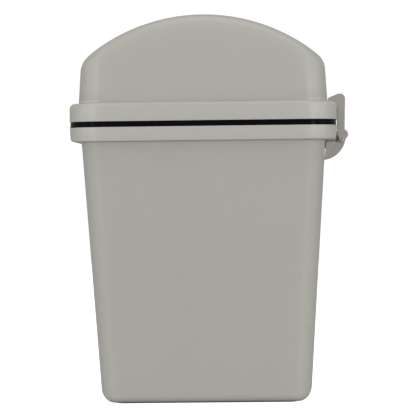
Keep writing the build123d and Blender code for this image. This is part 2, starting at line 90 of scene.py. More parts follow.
class BinSizes(bpy.types.PropertyGroup):
    """Sizes of the bin's surfaces."""

    rim_corner: length("Rim corner", "Plan radius of the collars' corners", 32 * MM)
    seam_low: length("Rim edge", "Height of the tub's rim edge", 285 * MM)
    seam_high: length("Lid edge", "Height of the lid's lower edge", 290.8 * MM)
    base: length("Base", "Height of the base over the floor", 1.2 * MM)
    tub_wall: length("Tub wall", "Thickness of the tub's wall", 2.6 * MM)
    tub_floor: length("Tub floor", "Thickness of the tub's floor", 3 * MM)
    tub_step: length("Tub step", "Collar's face in to the tub's wall", 12 * MM)
    tub_corner: length("Tub corner", "Plan radius of the tub's corners under the collar", 21 * MM)
    base_corner: length("Base corner", "Plan radius of the tub's corners at the base", 16 * MM)
    base_round: length("Base rounding", "Radius between the walls and the base, front and back", 9 * MM)
    base_round_end: length("Base end rounding", "The same at the ends", 15.5 * MM)
    collar_height: length("Collar height", "Height of the tub's collar", 14.5 * MM)
    collar_wall: length("Collar wall", "Thickness of the tub's collar", 4 * MM)
    collar_round: length("Collar rounding", "Radius along the collar's lower edge, front and back", 1 * MM)
    collar_round_end: length("Collar end rounding", "The same at the ends", 3.5 * MM)
    shelf: length("Shelf", "Thickness of the shelf for the bag ring", 3 * MM)
    ledge: length("Ledge", "Height of the ledge round the dome", 309.5 * MM)
    ledge_width: length("Ledge width", "Collar's face in to the dome's wall", 9.5 * MM)
    ledge_thickness: length("Ledge thickness", "Thickness of that ledge", 3 * MM)
    shoulder: length("Lid shoulder", "Radius along the lid collar's upper edge, front and back", 2.6 * MM)
    shoulder_end: length("Lid end shoulder", "The same at the ends", 5.5 * MM)
    lid_wall: length("Lid wall", "Thickness of the dome", 2.5 * MM)
    slot_inset: length("Slot", "Collar's face in to the slot for the seal", 1.9 * MM)
    slot_width: length("Slot width", "Width of that slot", 3 * MM)
    slot_depth: length("Slot depth", "Depth of that slot", 12 * MM)
    rib: length("Inner rib", "Thickness of the rib inside the slot", 2 * MM)
    arch: length("Arch radius", "Radius of the arch over the dome", 187 * MM)
    arch_end: length("Arch end radius", "Radius where the arch turns down at each end", 24 * MM)
    dome_round: length("Dome rounding", "Radius along the arch's front and rear edges", 11 * MM)
    dome_end_round: length("Dome end rounding", "The same over the end walls", 4 * MM)
    edge: length("Edge", "Radius of small moulded edges", 0.5 * MM)
    tub_draft: bpy.props.FloatProperty(
        name="Tub draft",
        description="Angle by which the tub's walls lean out",
        default=math.radians(3.75),
        subtype="ANGLE",
    )
    lid_draft: bpy.props.FloatProperty(
        name="Lid draft",
        description="Angle by which the dome's walls lean in",
        default=math.radians(3.5),
        subtype="ANGLE",
    )


class BinColours(bpy.types.PropertyGroup):
    """Colours of the bin's materials."""

    shell: colour("Shell", "Tub and lid", (0.334, 0.327, 0.296))
    latch: colour("Latch", "Lever and hook", (0.300, 0.289, 0.258))
    # The seal's faint blue tint is a painted reflection tint: it stands in for bluish reflections on the
    # black rubber.
    seal: colour("Seal", "Rubber seal", (0.0012, 0.0013, 0.0022))
    foot: colour("Foot ring", "Rubber ring under the base", (0.018, 0.018, 0.019))
    inner: colour("Inner parts", "Bag ring, tray and cover", (0.085, 0.087, 0.088))
    charcoal: colour("Charcoal", "Granules of the filter", (0.012, 0.012, 0.013))
    steel: colour("Steel", "Pins and screws", (0.58, 0.58, 0.59))
    floor: colour("Floor", "Studio floor", (0.62, 0.62, 0.62))


# --- Outlines and grids --------------------------------------------------------------------------
def outline_terms():
    """One turn round a rounded rectangle, as the four terms of
    x = a (half length - r) + c r and y = b (half depth - r) + d r, where (c, d) is the outward normal."""
    quarter = np.linspace(0, math.pi / 2, CORNER_STEPS)
    straight = np.linspace(1, -1, SIDE_STEPS + 2)[1:-1]
    terms = []
    for k in range(4):
        sx, sy = ((1, 1), (-1, 1), (-1, -1), (1, -1))[k]
        turn = quarter + k * math.pi / 2
        terms.append(np.stack([np.full_like(turn, sx), np.full_like(turn, sy), np.cos(turn), np.sin(turn)]))
        end = (k + 1) * math.pi / 2
        normal = np.ones((2, SIDE_STEPS)) * [[math.cos(end)], [math.sin(end)]]
        if k % 2 == 0:
            side = np.stack([sx * straight, np.full_like(straight, sy)])
        else:
            side = np.stack([np.full_like(straight, sx), sy * straight])
        terms.append(np.concatenate([side, normal]))
    return np.concatenate(terms, axis=1)


TERMS = outline_terms()


def rings(half_x, radius, height, skew=SKEW):
    """Rounded rectangles at heights: half_x, radius and height broadcast to one row a ring."""
    half_x, radius, height = (np.asarray(v, float) for v in (half_x, radius, height))
    half_x = half_x[:, None] if half_x.ndim == 1 else half_x
    radius = radius[:, None] if radius.ndim == 1 else radius
    height = height[:, None] if height.ndim == 1 else height
    a, b, c, d = TERMS
    x = a * (half_x - radius) + c * radius
    y = b * (half_x - skew - radius) + d * radius
    return np.stack(np.broadcast_arrays(x, y, height), axis=-1)


def rounded_path(corners, steps=ARC_STEPS):
    """Points (x, z) of a path whose corners, given as (x, z, radius), become arcs tangent to both runs."""
    points = np.array([c[:2] for c in corners], float)
    out = [points[:1]]
    for k in range(1, len(points) - 1):
        radius = corners[k][2]
        back = points[k - 1] - points[k]
        ahead = points[k + 1] - points[k]
        back /= np.linalg.norm(back)
        ahead /= np.linalg.norm(ahead)
        half = math.acos(np.clip(back @ ahead, -1, 1)) / 2
        inward = (back + ahead) / np.linalg.norm(back + ahead)
        centre = points[k] + inward * radius / math.sin(half)
        start = points[k] + back * radius / math.tan(half) - centre
        end = points[k] + ahead * radius / math.tan(half) - centre
        share = np.linspace(0, 1, steps)[:, None]
        turn = math.pi - 2 * half
        arc = (np.sin((1 - share) * turn) * start + np.sin(share * turn) * end) / math.sin(turn)
        out.append(centre + arc)
    out.append(points[-1:])
    return np.concatenate(out)


def blended(front, end):
    """A section that changes round the bin: one along the front and back, another at the ends."""
    share = np.abs(TERMS[3])
    return [share * f[:, None] + (1 - share) * e[:, None] for f, e in zip(front.T, end.T)]


def cap(ring, height, count):
    """Rings from a ring in to its middle, at heights that height(x) gives, and the middle point."""
    share = np.linspace(1, 0, count + 1)[1:, None]
    x = ring[None, :, 0] * share
    y = ring[None, :, 1] * share
    return np.stack([x, y, height(x)], axis=-1)[:-1], np.array([0, 0, float(height(np.zeros(1))[0])])


def skin(name, rows, start=None, end=None, closed=False):
    """A mesh object from rows of points, each row a closed ring. Start and end points close it with
    fans, or closed joins the last row to the first. Faces are turned to point outwards."""
    count, around = rows.shape[:2]
    points = rows.reshape(-1, 3)
    here = np.arange(count * around).reshape(count, around)
    across = np.roll(here, -1, axis=1)
    if closed:
        below, below_across = np.roll(here, -1, axis=0), np.roll(across, -1, axis=0)
    else:
        below, below_across = here[1:], across[1:]
        here, across = here[:-1], across[:-1]
    faces = np.stack([here, across, below_across, below], axis=-1).reshape(-1, 4).tolist()
    for centre, row, flip in ((start, 0, True), (end, count - 1, False)):
        if centre is not None:
            ring = row * around + np.arange(around)
            ahead = np.roll(ring, -1)
            middle = np.full(around, len(points))
            points = np.concatenate([points, centre[None]])
            fan = np.stack([ahead, ring, middle] if flip else [ring, ahead, middle], axis=-1)
            faces += fan.tolist()
    mesh = bpy.data.meshes.new(name)
    mesh.from_pydata(points.tolist(), [], faces)
    return finish_mesh(name, mesh)


def finish_mesh(name, mesh):
    """Merges, turns faces outwards and shades a mesh, and links its object."""
    work = bmesh.new()
    work.from_mesh(mesh)
    bmesh.ops.remove_doubles(work, verts=work.verts, dist=MERGE)
    bmesh.ops.dissolve_degenerate(work, dist=MERGE / 10, edges=work.edges)
    bmesh.ops.recalc_face_normals(work, faces=work.faces)
    work.to_mesh(mesh)
    work.free()
    mesh.shade_smooth()
    mesh.set_sharp_from_angle(angle=SHARP_ANGLE)
    piece = bpy.data.objects.new(name, mesh)
    bpy.context.scene.collection.objects.link(piece)
    return piece


def prism(name, outline, spans, edge):
    """An outline in XZ carried along Y over each (start, end), its edges rounded by a bevel."""
    outline = np.asarray(outline, float)
    work = bmesh.new()
    for start, end in spans:
        low = [work.verts.new((x, start, z)) for x, z in outline]
        high = [work.verts.new((x, end, z)) for x, z in outline]
        work.faces.new(low)
        work.faces.new(high[::-1])
        for k in range(len(outline)):
            work.faces.new((low[k - 1], high[k - 1], high[k], low[k]))
    mesh = bpy.data.meshes.new(name)
    work.to_mesh(mesh)
    work.free()
    piece = finish_mesh(name, mesh)
    add_bevel(piece, edge)
    return piece


def add_bevel(piece, width):
    """Rounds a piece's sharp edges."""
    bevel = piece.modifiers.new("Rounded edges", "BEVEL")
    bevel.width = width
    bevel.segments = 3
    bevel.limit_method = "ANGLE"
    bevel.angle_limit = BEVEL_ANGLE
    bevel.harden_normals = True


def turned(name, centre, half_span, radius, edge, along_x=False):
    """A pin: circles along an axis, with a rounded rim at each end and a shallow centre mark."""
    mark_depth, mark_floor, mark_rim = 2.5 * edge, 0.18 * radius, 0.34 * radius
    mark_tip = mark_depth + edge
    rim = np.linspace(0, math.pi / 2, 5)
    grow = radius - edge + edge * np.sin(rim)
    reach = half_span - edge + edge * np.cos(rim)
    mark = np.array([[half_span - mark_depth, mark_floor], [half_span, mark_rim]])
    tip = np.concatenate([mark, np.stack([reach, grow], axis=-1)])
    profile = np.concatenate([tip, tip[::-1] * [-1, 1]])
    turn = np.linspace(0, 2 * math.pi, 49)[:-1]
    span = profile[:, :1] + 0 * turn
    u = profile[:, 1:] * np.cos(turn)
    v = profile[:, 1:] * np.sin(turn)
    parts = [span, u, v] if along_x else [u, span, v]
    rows = np.stack(parts, axis=-1) + centre
    axis = np.array([1.0, 0, 0]) if along_x else np.array([0, 1.0, 0])
    deep = (half_span - mark_tip) * axis
    return skin(name, rows, np.asarray(centre) + deep, np.asarray(centre) - deep)


def softened(packed, name, width):
    """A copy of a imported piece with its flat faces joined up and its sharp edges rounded."""
    flat_angle = math.radians(0.4)
    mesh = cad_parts[packed].data.copy()
    mesh.materials.clear()
    work = bmesh.new()
    work.from_mesh(mesh)
    bmesh.ops.remove_doubles(work, verts=work.verts, dist=MERGE)
    bmesh.ops.dissolve_limit(
        work, angle_limit=flat_angle, verts=work.verts, edges=work.edges, delimit={"NORMAL"}
    )
    work.to_mesh(mesh)
    work.free()
    if mesh.has_custom_normals:
        mesh.attributes.remove(mesh.attributes["custom_normal"])
    mesh.shade_smooth()
    mesh.set_sharp_from_angle(angle=SHARP_ANGLE)
    piece = bpy.data.objects.new(name, mesh)
    bpy.context.scene.collection.objects.link(piece)
    add_bevel(piece, width)
    return piece


def settle(piece, body, slot, material, *nodes):
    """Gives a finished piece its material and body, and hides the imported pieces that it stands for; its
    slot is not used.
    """
    piece.data.materials.clear()
    piece.data.materials.append(material)
    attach(piece, body)
    if nodes:
        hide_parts(*nodes)
    return piece


# --- Shapes of the tub and the lid ----------------------------------------------------------------
def wall_x(sizes, height):
    """Half length of the tub's outer wall at a height: it leans out by the draft."""
    top = sizes.seam_low - sizes.collar_height
    return HALF_LENGTH - sizes.tub_step - (top - np.asarray(height)) * math.tan(sizes.tub_draft)


def wall_corner(sizes, height):
    """Plan radius of the tub's wall at a height."""
    top = sizes.seam_low - sizes.collar_height
    share = (np.asarray(height) - sizes.base) / (top - sizes.base)
    return sizes.base_corner + (sizes.tub_corner - sizes.base_corner) * share


def tub_radius(sizes, x, z):
    """Plan radius at a point of the tub's section: its offset curve keeps the corner's centre."""
    collar = sizes.rim_corner - HALF_LENGTH + x
    wall = wall_corner(sizes, z) - wall_x(sizes, z) + x
    return np.where(z > sizes.seam_low - sizes.collar_height - sizes.edge, collar, wall)


def tub_section(sizes, collar_round, base_round):
    """The tub's section, from the edge of its base out, up, over the rim and down to its floor."""
    low, shelf_under = sizes.base, sizes.seam_low - sizes.collar_height
    lean = sizes.collar_height * math.tan(sizes.tub_draft)
    shelf_top, floor = shelf_under + sizes.shelf, sizes.base + sizes.tub_floor
    inside = base_round - sizes.tub_wall
    base_x, floor_x = wall_x(sizes, low), wall_x(sizes, floor) - sizes.tub_wall
    collar_in = HALF_LENGTH - sizes.collar_wall
    return rounded_path(
        [
            (base_x - base_round - MM, low, 0),
            (base_x, low, base_round),
            (wall_x(sizes, shelf_under), shelf_under, sizes.edge),
            (HALF_LENGTH - lean, shelf_under, collar_round),
            (HALF_LENGTH, sizes.seam_low, sizes.edge),
            (collar_in, sizes.seam_low, sizes.edge),
            (collar_in, shelf_top, sizes.edge),
            (wall_x(sizes, shelf_top) - sizes.tub_wall, shelf_top, sizes.edge),
            (floor_x, floor, inside),
            (floor_x - inside - MM, floor, 0),
        ]
    )


def tub_rows(sizes):
    """The tub's section carried round, softer under the collar at the ends."""
    x, z = blended(
        tub_section(sizes, sizes.collar_round, sizes.base_round),
        tub_section(sizes, sizes.collar_round_end, sizes.base_round_end),
    )
    radius = np.maximum(tub_radius(sizes, x, z), 2 * sizes.edge)
    return rings(x, radius, z)


def arch_height(sizes, x, inset):
    """Height of the arch at x: one arc over the crown, then a tighter one down towards each end."""
    centre = LID_HIGH.z - sizes.arch
    end_x = HALF_LENGTH - sizes.ledge_width - sizes.arch_end
    slope = end_x / (sizes.arch - sizes.arch_end)
    end_z = centre + (sizes.arch - sizes.arch_end) * math.sqrt(1 - slope**2)
    far = np.abs(x)
    over = centre + np.sqrt(np.maximum((sizes.arch - inset) ** 2 - far**2, 0))
    down = end_z + np.sqrt(np.maximum((sizes.arch_end - inset) ** 2 - (far - end_x) ** 2, 0))
    return np.where(far < (sizes.arch - inset) * slope, over, down)


def dome_rows(sizes, inset, start):
    """The dome from a height on its wall up to its crown, taken in by inset: a drafted wall, a fillet
    that leaves the wall upright and meets the arch flush, then the arch. Each ring's height follows
    its own x, so wall and height are found together by repeating them."""
    fillet_rings, wall_rings, crown_rings, repeats = 9, 8, 16, 12
    lean = math.tan(sizes.lid_draft)
    corner = sizes.rim_corner - sizes.ledge_width - inset
    across = np.abs(TERMS[3])
    fillet = sizes.dome_end_round + (sizes.dome_round - sizes.dome_end_round) * across - inset

    def at(height, taken):
        half_x = HALF_LENGTH - sizes.ledge_width - inset - (height - sizes.ledge) * lean - taken
        return rings(half_x, corner - taken, height)

    turn = np.linspace(sizes.lid_draft, math.pi / 2, fillet_rings)[:, None]
    taken = fillet * (math.cos(sizes.lid_draft) - np.cos(turn))
    drop = fillet * (1 - np.sin(turn))
    height = np.full(taken.shape, LID_HIGH.z)
    for _ in range(repeats):
        height = arch_height(sizes, at(height, taken)[..., 0], inset) - drop
    over = at(height, taken)
    share = np.linspace(0, 1, wall_rings, endpoint=False)[:, None]
    wall = at(start + share * (over[0, :, 2] - start), 0 * share)
    top, crown = cap(over[-1], lambda x: arch_height(sizes, x, inset), crown_rings)
    return np.concatenate([wall, over, top]), crown


def lid_section(sizes, rise, shoulder):
    """The lid's section below the dome: ledge, collar, slot, rib, and back up inside."""
    lean = math.tan(sizes.lid_draft)
    under = sizes.ledge - sizes.ledge_thickness
    dome_x = HALF_LENGTH - sizes.ledge_width
    inner_x = dome_x - sizes.lid_wall
    slot_out = HALF_LENGTH - sizes.slot_inset
    slot_in = slot_out - sizes.slot_width
    return rounded_path(
        [
            (dome_x - rise * lean, sizes.ledge + rise, 0),
            (dome_x, sizes.ledge, 2 * sizes.edge),
            (HALF_LENGTH, sizes.ledge, shoulder),
            (HALF_LENGTH, sizes.seam_high, sizes.edge),
            (slot_out, sizes.seam_high, sizes.edge),
            (slot_out, sizes.seam_high + sizes.slot_depth, sizes.edge),
            (slot_in, sizes.seam_high + sizes.slot_depth, sizes.edge),
            (slot_in, sizes.seam_high, sizes.edge),
            (slot_in - sizes.rib, sizes.seam_high, sizes.edge),
            (slot_in - sizes.rib, under, sizes.edge),
            (inner_x + sizes.ledge_thickness * lean, under, sizes.edge),
            (inner_x - rise * lean, sizes.ledge + rise, 0),
        ]
    )


def lid_rows(sizes):
    """The lid's whole skin, from the crown down its outside, round the slot and up its inside."""
    rise = 3 * MM
    x, z = blended(lid_section(sizes, rise, sizes.shoulder), lid_section(sizes, rise, sizes.shoulder_end))
    collar = rings(x, sizes.rim_corner - HALF_LENGTH + x, z)
    outer, crown = dome_rows(sizes, 0.0, sizes.ledge + rise)
    inner, crown_inner = dome_rows(sizes, sizes.lid_wall, sizes.ledge + rise)
    return np.concatenate([outer[::-1], collar, inner]), crown, crown_inner


def knuckle_spans(first, count, width, gap):
    """(start, end) along Y of every second knuckle from the first."""
    share = width / count
    return [
        (-width / 2 + k * share + gap / 2, -width / 2 + (k + 1) * share - gap / 2)
        for k in range(first, count, 2)
    ]


def arc(centre, radius, start, end, steps=16):
    """Points of an arc in its own plane, angles in degrees from its first axis towards its second."""
    turn = np.radians(np.linspace(start, end, steps))
    return np.stack([centre[0] + radius * np.cos(turn), centre[1] + radius * np.sin(turn)], axis=-1)


# --- Materials ------------------------------------------------------------------------------------
def group(name, inputs, outputs):
    """A new shader group with named sockets, given as (name, type, default) and (name, type)."""
    tree = bpy.data.node_groups.new(name, "ShaderNodeTree")
    for label, kind, default in inputs:
        socket = tree.interface.new_socket(name=label, in_out="INPUT", socket_type=kind)
        socket.default_value = default
    for label, kind in outputs:
        tree.interface.new_socket(name=label, in_out="OUTPUT", socket_type=kind)
    source = tree.nodes.new("NodeGroupInput")
    sink = tree.nodes.new("NodeGroupOutput")
    return tree, source, sink


def node(tree, kind, links=(), **values):
    """A node with its properties set, and its inputs linked or set as (input, value or socket)."""
    made = tree.nodes.new(kind)
    for key, value in values.items():
        setattr(made, key, value)
    for key, value in links:
        if isinstance(value, bpy.types.NodeSocket):
            tree.links.new(value, made.inputs[key])
        else:
            made.inputs[key].default_value = value
    return made


def moulded_group():
    """Moulded plastic: cloudy tone from a wide noise, a fine leathery grain, and uneven gloss."""
    tree, source, sink = group(
        "Moulded surface",
        [
            ("Colour", "NodeSocketColor", (0.4, 0.4, 0.4, 1)),
            ("Cloud", "NodeSocketFloat", 0.05),
            ("Grain size", "NodeSocketFloat", 0.0006),
            ("Grain height", "NodeSocketFloat", 0.00002),
            ("Gloss low", "NodeSocketFloat", 0.38),
            ("Gloss high", "NodeSocketFloat", 0.5),
        ],
        [("Colour", "NodeSocketColor"), ("Roughness", "NodeSocketFloat"), ("Normal", "NodeSocketVector")],
    )
    place = node(tree, "ShaderNodeTexCoord").outputs["Object"]
    streak = node(tree, "ShaderNodeMapping", [("Vector", place), ("Scale", (14, 14, 3))])
    wide = node(tree, "ShaderNodeTexNoise", [("Vector", streak.outputs[0]), ("Scale", 1.0), ("Detail", 4.0)])
    centred = node(tree, "ShaderNodeMath", [(0, wide.outputs[0]), (1, 0.5)], operation="SUBTRACT")
    shift = node(
        tree, "ShaderNodeMath", [(0, centred.outputs[0]), (1, source.outputs["Cloud"]), (2, 1.0)],
        operation="MULTIPLY_ADD",
    )
    tone = node(
        tree, "ShaderNodeVectorMath", [(0, source.outputs["Colour"]), ("Scale", shift.outputs[0])],
        operation="SCALE",
    )
    fine_scale = node(
        tree, "ShaderNodeMath", [(0, 1.0), (1, source.outputs["Grain size"])], operation="DIVIDE"
    )
    fine = node(
        tree, "ShaderNodeTexNoise",
        [("Vector", place), ("Scale", fine_scale.outputs[0]), ("Detail", 3.0), ("Roughness", 0.6)],
    )
    patch = node(tree, "ShaderNodeTexNoise", [("Vector", place), ("Scale", 45.0), ("Detail", 5.0)])
    gloss = node(
        tree, "ShaderNodeMapRange",
        [
            ("Value", patch.outputs[0]), ("From Min", 0.3), ("From Max", 0.7),
            ("To Min", source.outputs["Gloss low"]), ("To Max", source.outputs["Gloss high"]),
        ],
    )
    bump = node(
        tree, "ShaderNodeBump", [("Height", fine.outputs[0]), ("Distance", source.outputs["Grain height"])]
    )
    tree.links.new(tone.outputs[0], sink.inputs["Colour"])
    tree.links.new(gloss.outputs[0], sink.inputs["Roughness"])
    tree.links.new(bump.outputs[0], sink.inputs["Normal"])
    return tree


def edge_highlight_group():
    """Painted edge highlight: convex edges are painted brighter, as if they caught the light; flat faces and
    recesses keep the plain colour.
    """
    tree, source, sink = group(
        "Painted edge highlight",
        [
            ("Colour", "NodeSocketColor", (0.4, 0.4, 0.4, 1)),
            ("Edge", "NodeSocketColor", (0.6, 0.6, 0.6, 1)),
            ("Amount", "NodeSocketFloat", 0.3),
        ],
        [("Colour", "NodeSocketColor")],
    )
    # Convex edges, found from pointiness, are where the highlight is painted.
    point = node(tree, "ShaderNodeNewGeometry").outputs["Pointiness"]
    highlight_mask = node(
        tree, "ShaderNodeMapRange",
        [("Value", point), ("From Min", 0.5), ("From Max", 0.56), ("To Min", 0.0), ("To Max", 1.0)],
    )
    amount = node(
        tree, "ShaderNodeMath", [(0, highlight_mask.outputs[0]), (1, source.outputs["Amount"])], operation="MULTIPLY"
    )
    mix = node(tree, "ShaderNodeMix", data_type="RGBA")
    tree.links.new(amount.outputs[0], mix.inputs[0])
    tree.links.new(source.outputs["Colour"], mix.inputs[6])
    tree.links.new(source.outputs["Edge"], mix.inputs[7])
    tree.links.new(mix.outputs[2], sink.inputs["Colour"])
    return tree


GROUPS = {}


def shared(name):
    """The shared group of a name, built the first time that it is asked for."""
    makers = {"Moulded surface": moulded_group, "Painted edge highlight": edge_highlight_group}
    if name not in GROUPS:
        GROUPS[name] = makers[name]()
    return GROUPS[name]


def new_material(name):
    """A material with one Principled shader, returned as (material, tree, shader)."""
    material = bpy.data.materials.new(name)
    material.use_nodes = True
    tree = material.node_tree
    return material, tree, tree.nodes["Principled BSDF"]


def plastic(name, tint, cloud, grain, height, gloss, edge=0.6):
    """Moulded plastic with the shared surface group and a painted edge highlight; edge sets how strongly
    convex edges are painted brighter.
    """
    if name in bpy.data.materials:
        return bpy.data.materials[name]
    material, tree, shader = new_material(name)
    surface = node(
        tree, "ShaderNodeGroup", node_tree=shared("Moulded surface"),
        links=[("Colour", (*tint, 1)), ("Cloud", cloud), ("Grain size", grain), ("Grain height", height),
               ("Gloss low", gloss[0]), ("Gloss high", gloss[1])],
    )
    # Painted highlight: a brighter copy of the tint, laid on convex edges by the edge highlight group.
    highlight_tint = tuple(min(1.0, 1.5 * v + 0.02) for v in tint)
    edges = node(
        tree, "ShaderNodeGroup", node_tree=shared("Painted edge highlight"),
        links=[("Colour", surface.outputs["Colour"]), ("Edge", (*highlight_tint, 1)), ("Amount", edge)],
    )
    tree.links.new(edges.outputs[0], shader.inputs["Base Color"])
    tree.links.new(surface.outputs["Roughness"], shader.inputs["Roughness"])
    tree.links.new(surface.outputs["Normal"], shader.inputs["Normal"])
    shader.inputs["IOR"].default_value = 1.48
    return material


def shell_plastic(colours):
    """Warm grey satin plastic of the tub and lid."""
    return plastic("Bin plastic", colours.shell, 0.05, 0.9 * MM, 0.012 * MM, (0.40, 0.47))


def latch_plastic(colours):
    """Tougher, slightly darker plastic of the latch."""
    return plastic("Latch plastic", colours.latch, 0.06, 0.6 * MM, 0.012 * MM, (0.36, 0.46))


def inner_plastic(colours):
    """Dark plastic of the bag ring, tray and cover, with a coarser spark grain."""
    return plastic("Inner plastic", colours.inner, 0.10, 0.7 * MM, 0.05 * MM, (0.50, 0.62), 0.35)


def rubber(name, tint, low, high):
    """Rubber: near black, with a faint run along the moulding and a thin sheen."""
    if name in bpy.data.materials:
        return bpy.data.materials[name]
    material, tree, shader = new_material(name)
    surface = node(
        tree, "ShaderNodeGroup", node_tree=shared("Moulded surface"),
        links=[("Colour", (*tint, 1)), ("Cloud", 0.3), ("Grain size", 1.6 * MM), ("Grain height", 0.03 * MM),
               ("Gloss low", low), ("Gloss high", high)],
    )
    tree.links.new(surface.outputs["Colour"], shader.inputs["Base Color"])
    tree.links.new(surface.outputs["Roughness"], shader.inputs["Roughness"])
    tree.links.new(surface.outputs["Normal"], shader.inputs["Normal"])
    shader.inputs["IOR"].default_value = 1.4
    shader.inputs["Specular IOR Level"].default_value = 0.12
    return material


def pin_steel(colours):
    """Turned steel: fine rings along the pin's length, and a soft clouded tone."""
    if "Pin steel" in bpy.data.materials:
        return bpy.data.materials["Pin steel"]
    material, tree, shader = new_material("Pin steel")
    place = node(tree, "ShaderNodeTexCoord").outputs["Object"]
    lines = node(
        tree, "ShaderNodeTexWave",
        [("Vector", place), ("Scale", 900.0), ("Distortion", 2.0), ("Detail", 2.0)],
        bands_direction="Y",
    )
    cloud = node(tree, "ShaderNodeTexNoise", [("Vector", place), ("Scale", 120.0), ("Detail", 5.0)])
    ramp = node(tree, "ShaderNodeValToRGB", [(0, cloud.outputs[0])])
    ramp.color_ramp.elements[0].position = 0.3
    ramp.color_ramp.elements[0].color = (*(0.8 * v for v in colours.steel), 1)
    ramp.color_ramp.elements[1].position = 0.7
    ramp.color_ramp.elements[1].color = (*colours.steel, 1)
    gloss = node(
        tree, "ShaderNodeMapRange", [("Value", lines.outputs[1]), ("To Min", 0.24), ("To Max", 0.36)]
    )
    bump = node(tree, "ShaderNodeBump", [("Height", lines.outputs[1]), ("Distance", 0.004 * MM)])
    tree.links.new(ramp.outputs[0], shader.inputs["Base Color"])
    tree.links.new(gloss.outputs[0], shader.inputs["Roughness"])
    tree.links.new(bump.outputs[0], shader.inputs["Normal"])
    shader.inputs["Metallic"].default_value = 1.0
    return material


def charcoal_granules(colours):
    """Pressed granules: small cells, each with its own tone, bound into a rough block."""
    if "Charcoal granules" in bpy.data.materials:
        return bpy.data.materials["Charcoal granules"]
    material, tree, shader = new_material("Charcoal granules")
    place = node(tree, "ShaderNodeTexCoord").outputs["Object"]
    cells = node(tree, "ShaderNodeTexVoronoi", [("Vector", place), ("Scale", 520.0), ("Randomness", 1.0)])
    tone = node(
        tree, "ShaderNodeMapRange", [("Value", cells.outputs["Color"]), ("To Min", 0.5), ("To Max", 2.4)]
    )
    shade = node(
        tree, "ShaderNodeVectorMath", [(0, colours.charcoal), ("Scale", tone.outputs[0])], operation="SCALE"
    )
    gloss = node(
        tree, "ShaderNodeMapRange", [("Value", cells.outputs["Color"]), ("To Min", 0.45), ("To Max", 0.8)]
    )
    bump = node(
        tree, "ShaderNodeBump", [("Height", cells.outputs["Distance"]), ("Distance", 0.8 * MM)], invert=True
    )
    tree.links.new(shade.outputs[0], shader.inputs["Base Color"])
    tree.links.new(gloss.outputs[0], shader.inputs["Roughness"])
    tree.links.new(bump.outputs[0], shader.inputs["Normal"])
    return material


# --- Operators: one for each piece or group of like pieces ----------------------------------------
class BIN_OT_tub(bpy.types.Operator):
    """Builds the tub with its collar, hinge knuckles and latch ears"""

    bl_idname = "waste_bin.tub"
    bl_label = "Tub"
    bl_options = {"REGISTER", "UNDO"}

    def execute(self, context):
        sizes, colours = context.scene.bin_sizes, context.scene.bin_colours
        rings_across = 8
        rows = tub_rows(sizes)
        under, start = cap(rows[0], lambda x: np.full_like(x, sizes.base), rings_across)
        floor, end = cap(rows[-1], lambda x: np.full_like(x, sizes.base + sizes.tub_floor), rings_across)
        rows = np.concatenate([under[::-1], rows, floor])
        tub = skin("tub_skin", rows, start, end)
        settle(tub, "tub", "shell_plastic", shell_plastic(colours), "tub")
        for piece in (hinge_knuckles("tub_knuckles", sizes, 0, -1), latch_ears(sizes)):
            settle(piece, "tub", "shell_plastic", shell_plastic(colours))
        return {"FINISHED"}


def hinge_knuckles(name, sizes, first, way):
    """Barrels round the hinge pin, each faired into the collar above it (way 1) or below (way -1)."""
    count, gap, edge = 5, 0.4 * MM, 0.35 * MM
    sunk, lip_gap, reach, head = 1.5 * MM, 0.2 * MM, 12 * MM, 0.8 * MM
    low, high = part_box("hinge_pin")
    centre = ((low.x + high.x) / 2, (low.z + high.z) / 2)
    radius = centre[0] - LID_LOW.x
    root = -HALF_LENGTH + sunk
    lip = (sizes.seam_high if way > 0 else sizes.seam_low) + way * lip_gap
    outline = np.concatenate([
        [(centre[0], lip), (root, lip), (root, centre[1] + way * reach),
         (centre[0] - radius, centre[1] + way * reach / 3)],
        arc(centre, radius, 180, 180 + way * 270, 20),
    ])
    width = high.y - low.y - 2 * head
    return prism(name, outline, knuckle_spans(first, count, width, gap), edge)


def latch_ears(sizes):
    """Two plates that carry the lever's pivot pin out from the collar."""
    low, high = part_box("latch_pivot_pin")
    centre = ((low.x + high.x) / 2, (low.z + high.z) / 2)
    radius, inner, thick, edge = 3.1 * MM, 8.5 * MM, 4 * MM, 0.5 * MM
    sunk, rib_drop, rib_depth = 2 * MM, 9 * MM, 4 * MM
    root = HALF_LENGTH - sunk
    under = sizes.seam_low - sizes.collar_height
    foot = under - rib_drop
    inside = float(wall_x(sizes, foot)) - sizes.tub_wall / 2
    outline = np.concatenate([
        [(root, under + sunk), (inside, under + sunk), (inside, foot)],
        [(centre[0] - 2 * radius, under - rib_depth)],
        arc(centre, radius, -178, 90, 24),
        [(root, centre[1] + radius)],
    ])
    return prism("latch_ears", outline, [(-inner - thick, -inner), (inner, inner + thick)], edge)


class BIN_OT_foot_ring(bpy.types.Operator):
    """Builds the rubber ring under the base"""

    bl_idname = "waste_bin.foot_ring"
    bl_label = "Foot Ring"
    bl_options = {"REGISTER", "UNDO"}

    def execute(self, context):
        colours = context.scene.bin_colours
        low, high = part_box("foot_ring")
        width, corner, edge = 9 * MM, 9 * MM, 0.5 * MM
        path = rounded_path(
            [
                (high.x - width / 2, low.z, 0),
                (high.x, low.z, edge),
                (high.x, high.z, edge / 4),
                (high.x - width, high.z, edge / 4),
                (high.x - width, low.z, edge),
                (high.x - width / 2 - edge, low.z, 0),
            ]
        )
        rows = rings(path[:, 0], np.full(len(path), corner), path[:, 1])
        ring = skin("foot_ring_rubber", rows, closed=True)
        settle(ring, "tub", "foot_rubber", rubber("Foot rubber", colours.foot, 0.55, 0.7), "foot_ring")
        return {"FINISHED"}


